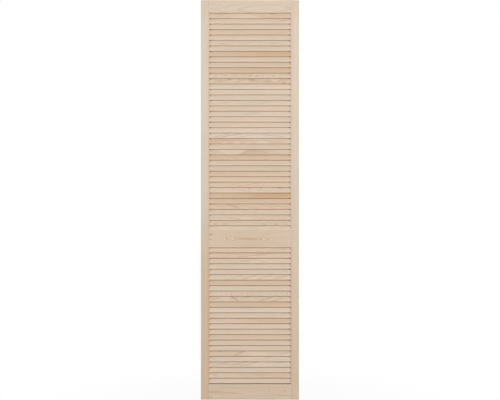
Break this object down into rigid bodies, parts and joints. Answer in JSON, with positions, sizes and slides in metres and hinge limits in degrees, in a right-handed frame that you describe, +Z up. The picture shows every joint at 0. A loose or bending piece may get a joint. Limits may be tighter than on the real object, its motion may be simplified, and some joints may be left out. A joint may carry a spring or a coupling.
{
  "type": "louvre door",
  "caption": "Slim door leaf in bare pine: stiles and rails frame an upper and a lower bay of fixed sloping slats, for a wardrobe, closet or coat store.",
  "frame": {"origin": "middle of the leaf's foot, in the plane that the foot stands on", "axes": "+Z up the leaf, +X along its width, +Y from the front face, which the slats' lower edges are nearest to, to the back face"},
  "size_m": [0.494, 0.02, 2.013],
  "materials": {
    "stiles": "bare sanded pine, upright grain",
    "rails": "bare sanded pine, level grain",
    "slats": "bare planed pine, level grain",
    "dowels": "bare beech"
  },
  "bodies": {
    "root": {"dowels_bottom": "dowels", "dowels_middle": "dowels", "dowels_top": "dowels", "lower_slat_01": "slats", "lower_slat_02": "slats", "lower_slat_03": "slats", "lower_slat_04": "slats", "lower_slat_05": "slats", "lower_slat_06": "slats", "lower_slat_07": "slats", "lower_slat_08": "slats", "lower_slat_09": "slats", "lower_slat_10": "slats", "lower_slat_11": "slats", "lower_slat_12": "slats", "lower_slat_13": "slats", "lower_slat_14": "slats", "lower_slat_15": "slats", "lower_slat_16": "slats", "lower_slat_17": "slats", "lower_slat_18": "slats", "lower_slat_19": "slats", "lower_slat_20": "slats", "lower_slat_21": "slats", "lower_slat_22": "slats", "lower_slat_23": "slats", "lower_slat_24": "slats", "lower_slat_25": "slats", "rail_bottom": "rails", "rail_middle": "rails", "rail_top": "rails", "stile_left": "stiles", "stile_right": "stiles", "upper_slats_01_02": "slats", "upper_slats_03_04": "slats", "upper_slats_05_06": "slats", "upper_slats_07_08": "slats", "upper_slats_09_10": "slats", "upper_slats_11_12": "slats", "upper_slats_13_14": "slats", "upper_slats_15_16": "slats", "upper_slats_17_18": "slats", "upper_slats_19_20": "slats", "upper_slats_21_22": "slats", "upper_slats_23_24": "slats", "upper_slats_25_26": "slats", "upper_slats_27_28": "slats", "upper_slats_29_30": "slats", "upper_slats_31_32": "slats", "upper_slats_33_34": "slats", "upper_slats_35_36": "slats", "upper_slats_37_38": "slats", "upper_slats_39_40": "slats"}
  },
  "joints": []
}
